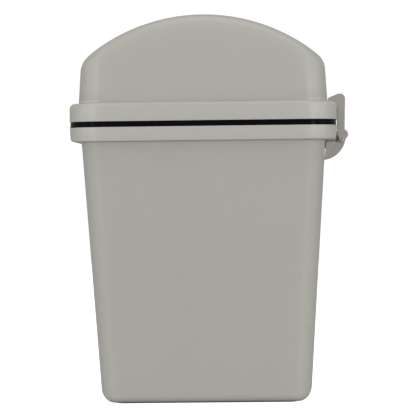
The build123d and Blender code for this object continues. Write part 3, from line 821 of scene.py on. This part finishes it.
class BIN_OT_lid(bpy.types.Operator):
    """Builds the domed lid with its ledge, collar, seal slot and knuckles"""

    bl_idname = "waste_bin.lid"
    bl_label = "Lid"
    bl_options = {"REGISTER", "UNDO"}

    def execute(self, context):
        sizes, colours = context.scene.bin_sizes, context.scene.bin_colours
        rows, crown, crown_inner = lid_rows(sizes)
        lid = skin("lid_skin", rows, crown, crown_inner)
        settle(lid, "lid", "shell_plastic", shell_plastic(colours), "lid_shell")
        for piece in (hinge_knuckles("lid_knuckles", sizes, 1, 1), screw_bosses(sizes)):
            settle(piece, "lid", "shell_plastic", shell_plastic(colours))
        return {"FINISHED"}


def screw_bosses(sizes):
    """Four tapered posts from inside the dome down to the tray."""
    low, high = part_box("tray_screws")
    tray_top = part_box("odour_tray")[1].z
    head, radius, around = 3.1 * MM, 4.2 * MM, 40
    share = np.array([[0.0], [0.02], [0.9], [1.0]])  # of the way up, one a ring
    flare = 1 + np.array([[-0.08], [0.0], [0.02], [0.35]])  # chamfered foot, slight taper, wide root
    turn = np.linspace(0, 2 * math.pi, around, endpoint=False)
    mesh = bpy.data.meshes.new("lid_bosses")
    points, faces = [], []
    for x in (low.x + head, high.x - head):
        for y in (low.y + head, high.y - head):
            u = x + radius * np.cos(turn)
            top = arch_height(sizes, u, sizes.lid_wall / 2)
            px = x + flare * radius * np.cos(turn)
            py = y + flare * radius * np.sin(turn)
            pz = tray_top + share * (top - tray_top)
            rows = np.stack([px, py, pz], axis=-1)
            base = len(points)
            points += rows.reshape(-1, 3).tolist()
            here = base + np.arange(share.size * around).reshape(share.size, around)
            ahead = np.roll(here, -1, axis=1)
            wall = np.stack([here[:-1], ahead[:-1], ahead[1:], here[1:]], axis=-1)
            faces += wall.reshape(-1, 4).tolist()
            faces += [here[0][::-1].tolist(), here[-1].tolist()]
    mesh.from_pydata(points, [], faces)
    return finish_mesh("lid_bosses", mesh)


class BIN_OT_seal(bpy.types.Operator):
    """Builds the ribbed rubber seal in the seam"""

    bl_idname = "waste_bin.seal"
    bl_label = "Seal"
    bl_options = {"REGISTER", "UNDO"}

    def execute(self, context):
        sizes, colours = context.scene.bin_sizes, context.scene.bin_colours
        face, low = SEAL_HIGH.x, SEAL_LOW.z
        lips, groove, width = 3, 0.6 * MM, 5.6 * MM
        stem_in, stem, edge = 1.4 * MM, 2.8 * MM, 0.2 * MM
        lip_half = 0.49  # of the pitch, which leaves a thin groove between lips
        pitch = (sizes.seam_high - low) / lips
        turn = np.radians(np.linspace(-80, 80, 9))
        lip_x = face - groove + groove * np.cos(turn)
        lip_z = pitch * (0.5 + lip_half * np.sin(turn))
        front = np.concatenate([np.stack([lip_x, low + k * pitch + lip_z], axis=-1) for k in range(lips)])
        stem_out, back = face - stem_in, face - width
        rest = rounded_path(
            [
                (front[-1, 0], sizes.seam_high, 0),
                (stem_out, sizes.seam_high, edge),
                (stem_out, SEAL_HIGH.z, 3 * edge),
                (stem_out - stem, SEAL_HIGH.z, 3 * edge),
                (stem_out - stem, sizes.seam_high, edge),
                (back, sizes.seam_high, edge),
                (back, low, edge),
                (front[0, 0] - edge, low, 0),
            ],
            steps=4,
        )
        path = np.concatenate([front, rest])
        x, z = path.T
        seal = skin("seal_rubber_band", rings(x, sizes.rim_corner - HALF_LENGTH + x, z), closed=True)
        settle(seal, "lid", "seal_rubber", rubber("Seal rubber", colours.seal, 0.16, 0.26), "lid_seal")
        return {"FINISHED"}


class BIN_OT_latch(bpy.types.Operator):
    """Builds the latch's lever and hook with rounded edges"""

    bl_idname = "waste_bin.latch"
    bl_label = "Latch"
    bl_options = {"REGISTER", "UNDO"}

    def execute(self, context):
        colours = context.scene.bin_colours
        edges = {"latch_lever": 0.5 * MM, "latch_hook": 0.8 * MM}
        for name, edge in edges.items():
            piece = softened(name, name + "_moulding", edge)
            settle(piece, name, "latch_plastic", latch_plastic(colours), name)
        return {"FINISHED"}


class BIN_OT_pins(bpy.types.Operator):
    """Builds the four steel pins and dresses the screws"""

    bl_idname = "waste_bin.pins"
    bl_label = "Pins"
    bl_options = {"REGISTER", "UNDO"}

    def execute(self, context):
        colours = context.scene.bin_colours
        steel = pin_steel(colours)
        for name, body in (
            ("hinge_pin", "tub"),
            ("latch_pivot_pin", "tub"),
            ("latch_link_pin", "latch_lever"),
            ("tray_hinge_pin", "lid"),
        ):
            low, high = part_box(name)
            along_x = high.x - low.x > high.y - low.y
            half_span = (high.x - low.x if along_x else high.y - low.y) / 2
            radius = (high.z - low.z) / 2
            pin = turned(name + "_turned", np.array((low + high) / 2), half_span, radius, radius / 4, along_x)
            settle(pin, body, "pin_steel", steel, name)
        dress("tray_screws", steel)
        return {"FINISHED"}


def dress(name, material):
    """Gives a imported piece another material."""
    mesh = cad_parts[name].data
    mesh.materials.clear()
    mesh.materials.append(material)


class BIN_OT_bag_ring(bpy.types.Operator):
    """Builds the loose ring that holds the bag's edge"""

    bl_idname = "waste_bin.bag_ring"
    bl_label = "Bag Ring"
    bl_options = {"REGISTER", "UNDO"}

    def execute(self, context):
        sizes, colours = context.scene.bin_sizes, context.scene.bin_colours
        low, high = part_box("bag_ring")
        skirt_height, flange, gap, wall, edge = 15 * MM, 2.5 * MM, 1.5 * MM, 2.2 * MM, 0.6 * MM
        top_start, top_end = 3 * MM, 3.2 * MM  # where the section starts and ends on the flange's top
        tab_in = 1.2 * MM
        foot, flange_low = low.z, low.z + skirt_height
        flange_top = flange_low + flange
        inset = sizes.tub_wall + gap

        def skirt(height, taken):
            return float(wall_x(sizes, height)) - inset - taken

        path = rounded_path(
            [
                (high.x - top_start, flange_top, 0),
                (high.x, flange_top, edge),
                (high.x, flange_low, edge),
                (skirt(flange_low, 0), flange_low, edge),
                (skirt(foot, 0), foot, edge),
                (skirt(foot, wall), foot, edge),
                (skirt(flange_top, wall), flange_top, edge),
                (high.x - top_end, flange_top, 0),
            ]
        )
        x, z = path.T
        ring = skin("bag_ring_hoop", rings(x, sizes.rim_corner - HALF_LENGTH + x, z), closed=True)
        settle(ring, "bag_ring", "ring_plastic", inner_plastic(colours), "bag_ring")
        tabs = ring_tabs(skirt(flange_low, wall) + tab_in, flange_low, high.z)
        settle(tabs, "bag_ring", "ring_plastic", inner_plastic(colours))
        return {"FINISHED"}


def ring_tabs(middle, low, high):
    """A finger tab at each end of the ring, its top corners rounded."""
    half_wall, half_width, corner, edge = 1.2 * MM, 17 * MM, 5 * MM, 0.6 * MM
    right = arc((half_width - corner, high - corner), corner, 0, 90, 8)
    outline = np.concatenate([[(half_width, low)], right, right[::-1] * [-1, 1], [(-half_width, low)]])
    work = bmesh.new()
    for side in (-1, 1):
        near = [work.verts.new((side * middle - half_wall, y, z)) for y, z in outline]
        far = [work.verts.new((side * middle + half_wall, y, z)) for y, z in outline]
        work.faces.new(near[::-1])
        work.faces.new(far)
        for k in range(len(outline)):
            work.faces.new((near[k - 1], near[k], far[k], far[k - 1]))
    mesh = bpy.data.meshes.new("bag_ring_tabs")
    work.to_mesh(mesh)
    work.free()
    tabs = finish_mesh("bag_ring_tabs", mesh)
    add_bevel(tabs, edge)
    return tabs


class BIN_OT_odour_tray(bpy.types.Operator):
    """Builds the odour tray, its cover and the charcoal filter"""

    bl_idname = "waste_bin.odour_tray"
    bl_label = "Odour Tray"
    bl_options = {"REGISTER", "UNDO"}

    def execute(self, context):
        colours = context.scene.bin_colours
        for name, body in (("odour_tray", "lid"), ("tray_cover", "tray_cover")):
            piece = softened(name, name + "_moulding", 0.4 * MM)
            settle(piece, body, "tray_plastic", inner_plastic(colours), name)
        block = charcoal_block()
        settle(block, "lid", "charcoal_granules", charcoal_granules(colours), "charcoal_filter")
        return {"FINISHED"}


def charcoal_block():
    """A pressed block with rounded edges, its top and bottom pitted by crossed, bent sine waves."""
    low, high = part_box("charcoal_filter")
    edge, corner, rings_across = 1.2 * MM, 5 * MM, 24
    pit = 0.02 * (high.z - low.z)
    wave_x, wave_y, bend_x, bend_y = 900, 850, 640, 700  # radians a metre
    path = rounded_path(
        [
            (high.x - 2 * edge, low.z, 0),
            (high.x, low.z, edge),
            (high.x, high.z, edge),
            (high.x - 2 * edge, high.z, 0),
        ]
    )
    side = rings(path[:, 0], np.full(len(path), corner), path[:, 1], high.x - high.y)
    under, start = cap(side[0], lambda x: np.full_like(x, low.z), rings_across)
    over, end = cap(side[-1], lambda x: np.full_like(x, high.z), rings_across)
    rows = np.concatenate([under[::-1], side, over])
    x, y, z = np.moveaxis(rows, -1, 0)
    lumps = np.sin(wave_x * x + 3 * np.sin(bend_y * y)) * np.sin(wave_y * y + 2 * np.sin(bend_x * x))
    away = np.sign(z - (low.z + high.z) / 2)
    rows[..., 2] = np.clip(z - pit * (1 + lumps) * away, low.z, high.z)
    return skin("charcoal_block", rows, start, end)


class BIN_OT_stage(bpy.types.Operator):
    """Sets up the floor, the light and the camera"""

    bl_idname = "waste_bin.stage"
    bl_label = "Stage"
    bl_options = {"REGISTER", "UNDO"}

    def execute(self, context):
        colours = context.scene.bin_colours
        bpy.context.scene.view_settings.view_transform = "Standard"
        lay_floor(colours)
        light_world()
        light_lamps()
        place_camera()
        return {"FINISHED"}


def lay_floor(colours):
    """A wide pale floor that the camera sees as plain white."""
    reach = 6.0
    mesh = bpy.data.meshes.new("studio_floor")
    corners = [(-reach, -reach, 0), (reach, -reach, 0), (reach, reach, 0), (-reach, reach, 0)]
    mesh.from_pydata(corners, [], [(0, 1, 2, 3)])
    floor = bpy.data.objects.new("studio_floor", mesh)
    bpy.context.scene.collection.objects.link(floor)
    material, tree, shader = new_material("Studio floor")
    shader.inputs["Base Color"].default_value = (*colours.floor, 1)
    shader.inputs["Roughness"].default_value = 0.9
    shader.inputs["Emission Color"].default_value = (1, 1, 1, 1)
    lit = node(tree, "ShaderNodeLightPath").outputs["Is Camera Ray"]
    tree.links.new(lit, shader.inputs["Emission Strength"])
    mesh.materials.append(material)


def light_world():
    """A white surround, dimmer as light than it looks."""
    as_light, as_seen = 0.42, 1.02
    world = bpy.data.worlds.new("Studio")
    bpy.context.scene.world = world
    world.use_nodes = True
    tree = world.node_tree
    seen = node(tree, "ShaderNodeLightPath").outputs["Is Camera Ray"]
    strength = node(tree, "ShaderNodeMapRange", [("Value", seen), ("To Min", as_light), ("To Max", as_seen)])
    background = tree.nodes["Background"]
    background.inputs["Color"].default_value = (1, 1, 1, 1)
    tree.links.new(strength.outputs[0], background.inputs["Strength"])


def light_lamps():
    """Soft square lamps, each as a name, a place and a size in metres, and a power in watts."""
    for name, place, size, power in (
        ("Overhead", (0.0, -0.7, 3.6), 3.0, 46.0),
        ("Front left", (-2.5, -4.5, 0.6), 0.8, 62.0),
        ("Front right", (2.5, -4.5, 0.6), 0.8, 62.0),
        ("Left", (-2.2, -1.1, 0.5), 1.2, 12.5),
        ("Right", (2.2, -1.1, 0.5), 1.2, 14.0),
    ):
        light = bpy.data.lights.new(name, "AREA")
        light.size = size
        light.energy = power
        lamp = bpy.data.objects.new(name, light)
        bpy.context.scene.collection.objects.link(lamp)
        aim(lamp, place, (0, 0, LID_HIGH.z / 2), 0)


def place_camera():
    """The camera, nearly square to the front and level with the middle of the bin."""
    distance, height, azimuth, roll = 3.0, 0.215, math.radians(2.0), math.radians(-0.66)
    target = (0.0014, 0, 0.2008)
    camera_data = bpy.data.cameras.new("Camera")
    camera = bpy.data.objects.new("Camera", camera_data)
    bpy.context.scene.collection.objects.link(camera)
    camera_data.lens = 246.1
    camera_data.sensor_width = 36
    aim(camera, (distance * math.sin(azimuth), -distance * math.cos(azimuth), height), target, roll)
    bpy.context.scene.camera = camera


def aim(item, place, target, roll):
    """Puts an object at a place, looking at a target, rolled about its line of sight."""
    way = Vector(target) - Vector(place)
    turn = way.to_track_quat("-Z", "Y").to_matrix().to_4x4()
    item.matrix_world = Matrix.Translation(place) @ turn @ Matrix.Rotation(roll, 4, "Z")


class BIN_PT_panel(bpy.types.Panel):
    """Lists the bin's pieces in the sidebar"""

    bl_label = "Dog Waste Bin"
    bl_idname = "BIN_PT_panel"
    bl_space_type = "VIEW_3D"
    bl_region_type = "UI"
    bl_category = "Waste Bin"

    def draw(self, context):
        for operator in OPERATORS:
            self.layout.operator(operator.bl_idname)
        for settings in (context.scene.bin_sizes, context.scene.bin_colours):
            box = self.layout.box()
            for name in settings.bl_rna.properties.keys():
                if name not in ("rna_type", "name"):
                    box.prop(settings, name)


OPERATORS = (
    BIN_OT_stage,
    BIN_OT_tub,
    BIN_OT_foot_ring,
    BIN_OT_lid,
    BIN_OT_seal,
    BIN_OT_latch,
    BIN_OT_pins,
    BIN_OT_bag_ring,
    BIN_OT_odour_tray,
)
CLASSES = (BinSizes, BinColours, *OPERATORS, BIN_PT_panel)


def register():
    """Registers the classes and gives the scene its settings."""
    for cls in CLASSES:
        bpy.utils.register_class(cls)
    bpy.types.Scene.bin_sizes = bpy.props.PointerProperty(type=BinSizes)
    bpy.types.Scene.bin_colours = bpy.props.PointerProperty(type=BinColours)


def unregister():
    """Takes the settings and the classes away again."""
    del bpy.types.Scene.bin_colours
    del bpy.types.Scene.bin_sizes
    for cls in reversed(CLASSES):
        bpy.utils.unregister_class(cls)


def main():
    """Builds every piece in order."""
    register()
    for operator in OPERATORS:
        category, name = operator.bl_idname.split(".")
        getattr(getattr(bpy.ops, category), name)()


if __name__ == "__main__":
    main()
